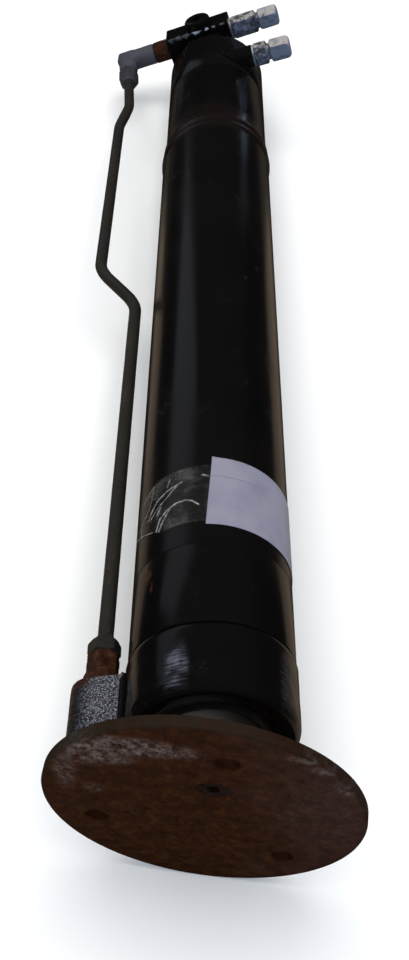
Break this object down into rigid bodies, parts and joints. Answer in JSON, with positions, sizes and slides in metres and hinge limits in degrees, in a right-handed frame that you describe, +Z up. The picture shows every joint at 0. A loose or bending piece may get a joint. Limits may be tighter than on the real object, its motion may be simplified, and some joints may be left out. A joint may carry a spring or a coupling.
{
  "type": "hydraulic stabiliser cylinder",
  "caption": "Hydraulic stabiliser jack cylinder with a ball-jointed round foot plate, a valve block at the closed end and a bent steel pipe down to the gland.",
  "frame": {"origin": "on the cylinder axis, at the joint between the gland and the barrel's foot end", "axes": "+Y along the cylinder axis towards the closed end, +Z up as the cylinder lies with its valve cap up, +X towards the hose ports"},
  "size_m": [0.2291, 1.1064, 0.2119],
  "materials": {
    "black_paint": "gloss",
    "block_paint": "hammered gloss",
    "pipe_paint": "satin",
    "rusty_fitting": "rusted",
    "zinc": "zinc plated",
    "chrome": "hard chrome",
    "bare_steel": "machined",
    "rusty_plate": "rusted",
    "bronze": "machined",
    "rubber": "matt",
    "nylon": "matt",
    "paper": "paper",
    "clear_tape": "clear film"
  },
  "bodies": {
    "barrel": {"barrel_tube": "black_paint", "closed_end_cap": "black_paint", "cap_weld": "black_paint", "valve_block": "black_paint", "valve_block_weld": "black_paint", "check_valve_cap": "black_paint", "check_valve_oring": "rubber", "check_spring": "bare_steel", "upper_seal_washer": "zinc", "upper_adapter": "zinc", "upper_cap_nut": "zinc", "lower_port_boss": "black_paint", "lower_boss_weld": "black_paint", "lower_seal_washer": "zinc", "lower_adapter": "zinc", "lower_cap_nut": "zinc", "elbow_stud": "rusty_fitting", "elbow_fitting": "pipe_paint", "elbow_nut": "pipe_paint", "elbow_ferrule": "bare_steel", "steel_pipe": "pipe_paint", "pipe_nut": "pipe_paint", "pipe_ferrule": "bare_steel", "pipe_stud": "rusty_fitting", "gland_port_block": "block_paint", "port_block_weld": "black_paint", "gland_head": "black_paint", "gland_oring": "rubber", "gland_backup_ring": "nylon", "rod_guide_rings": "nylon", "rod_seal": "rubber", "wiper_seal": "rubber", "paper_label": "paper", "packing_tape": "clear_tape"},
    "rod": {"rod": "chrome", "piston": "bare_steel", "piston_seal": "nylon", "piston_wear_rings": "nylon", "piston_oring": "rubber", "piston_nut": "bare_steel", "ball_retaining_ring": "bare_steel", "ring_lock_screw": "bare_steel"},
    "seat_cup": {"upper_ball_seat": "bronze"},
    "seat_ring": {"lower_ball_seat": "bronze"},
    "foot": {"ball_stud": "bare_steel", "stud_weld": "bare_steel", "foot_plate": "rusty_plate", "stud_screw": "bare_steel"},
    "check_valve": {"check_poppet": "bare_steel"}
  },
  "joints": [
    {"name": "rod_slide", "type": "slide", "parent": "barrel", "child": "rod", "axis": [0, -1, 0], "range_m": [0, 0.55]},
    {"name": "foot_turn", "type": "hinge", "parent": "rod", "child": "seat_cup", "pos_m": [0, -0.059, 0], "axis": [0, 1, 0], "continuous": true},
    {"name": "foot_tilt_side", "type": "hinge", "parent": "seat_cup", "child": "seat_ring", "pos_m": [0, -0.059, 0], "axis": [0, 0, -1], "range_deg": [-17.1, 2.9]},
    {"name": "foot_tilt_fore", "type": "hinge", "parent": "seat_ring", "child": "foot", "pos_m": [0, -0.059, 0], "axis": [0.9923, -0.1236, 0], "range_deg": [-14, 6]},
    {"name": "check_valve_lift", "type": "slide", "parent": "barrel", "child": "check_valve", "axis": [-0.3173, 0, 0.9483], "range_m": [0, 0.003], "stiffness_N_per_m": 1000, "springref_m": -0.002}
  ]
}
